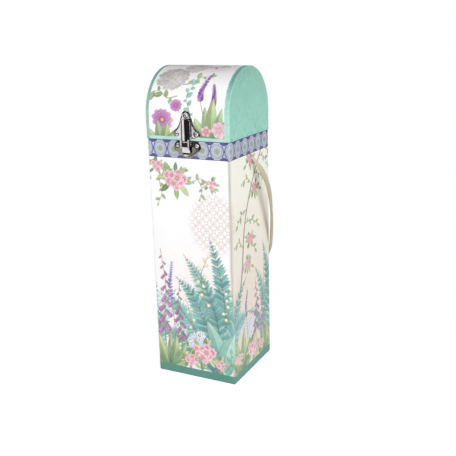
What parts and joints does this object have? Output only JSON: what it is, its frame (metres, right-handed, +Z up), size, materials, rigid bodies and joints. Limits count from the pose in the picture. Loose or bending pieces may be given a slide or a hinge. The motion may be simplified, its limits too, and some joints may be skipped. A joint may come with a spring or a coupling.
{
  "type": "wine bottle box",
  "caption": "Tall square wooden box for a wine bottle, with a hinged barrel-top lid, a toggle latch and a carrying strap.",
  "frame": {"origin": "centre of the face that the box stands on", "axes": "+Z up along the box's height, +X to the right, -Y towards the front with the latch"},
  "size_m": [0.1302, 0.137, 0.3604],
  "materials": {
    "board_wood": "plain board, hidden under paper",
    "print_paper": "satin printed paper",
    "border_paper": "satin printed paper",
    "plinth_paper": "satin plain paper",
    "mint_paper": "satin paper with a tonal scroll pattern",
    "lining_paper": "matte plain paper",
    "hinge_metal": "nickel-plated sheet steel",
    "latch_metal": "bright nickel plate",
    "strap_fabric": "woven ribbon"
  },
  "bodies": {
    "box": {"front_board": "board_wood", "back_board": "board_wood", "left_board": "board_wood", "right_board": "board_wood", "base_board": "board_wood", "bottom_sheet": "plinth_paper", "base_lining": "lining_paper", "wall_lining": "lining_paper", "wall_paper": "print_paper", "border_paper": "border_paper", "plinth_paper": "plinth_paper", "hinge_left_lower_leaf": "hinge_metal", "hinge_right_lower_leaf": "hinge_metal", "hinge_left_pin": "hinge_metal", "hinge_right_pin": "hinge_metal", "hinge_lower_nails": "hinge_metal", "latch_base_plate": "latch_metal", "latch_base_nails": "latch_metal", "latch_lever_pin": "latch_metal"},
    "lid": {"lid_front_board": "board_wood", "lid_back_board": "board_wood", "lid_left_board": "board_wood", "lid_right_board": "board_wood", "lid_arch_board": "board_wood", "lid_print_paper": "print_paper", "lid_left_paper": "mint_paper", "lid_right_paper": "mint_paper", "lid_rim_paper": "mint_paper", "lid_lining": "lining_paper", "hinge_left_upper_leaf": "hinge_metal", "hinge_right_upper_leaf": "hinge_metal", "hinge_upper_nails": "hinge_metal", "latch_catch_plate": "latch_metal", "latch_catch_nails": "latch_metal"},
    "lever": {"latch_lever": "latch_metal", "latch_link_pin": "latch_metal"},
    "link": {"latch_link": "latch_metal"},
    "strap": {"carry_strap": "strap_fabric", "strap_left_knot": "strap_fabric", "strap_right_knot": "strap_fabric"}
  },
  "joints": [
    {"name": "lid_hinge", "type": "hinge", "parent": "box", "child": "lid", "pos_m": [0, 0.0537, 0.28355], "axis": [-1, 0, 0], "range_deg": [0, 180]},
    {"name": "lever_hinge", "type": "hinge", "parent": "box", "child": "lever", "pos_m": [0, -0.0541, 0.281], "axis": [-1, 0, 0], "range_deg": [0, 140]},
    {"name": "link_hinge", "type": "hinge", "parent": "lever", "child": "link", "pos_m": [0, -0.0563, 0.277], "axis": [-1, 0, 0], "range_deg": [-148, 0]},
    {"name": "strap_swing", "type": "hinge", "parent": "box", "child": "strap", "pos_m": [0, 0.004, 0.258], "axis": [1, 0, 0], "range_deg": [0, 307]}
  ],
  "couplings": [
    {"joint": "link_hinge", "follows": "lever_hinge", "ratio": -1.05}
  ]
}
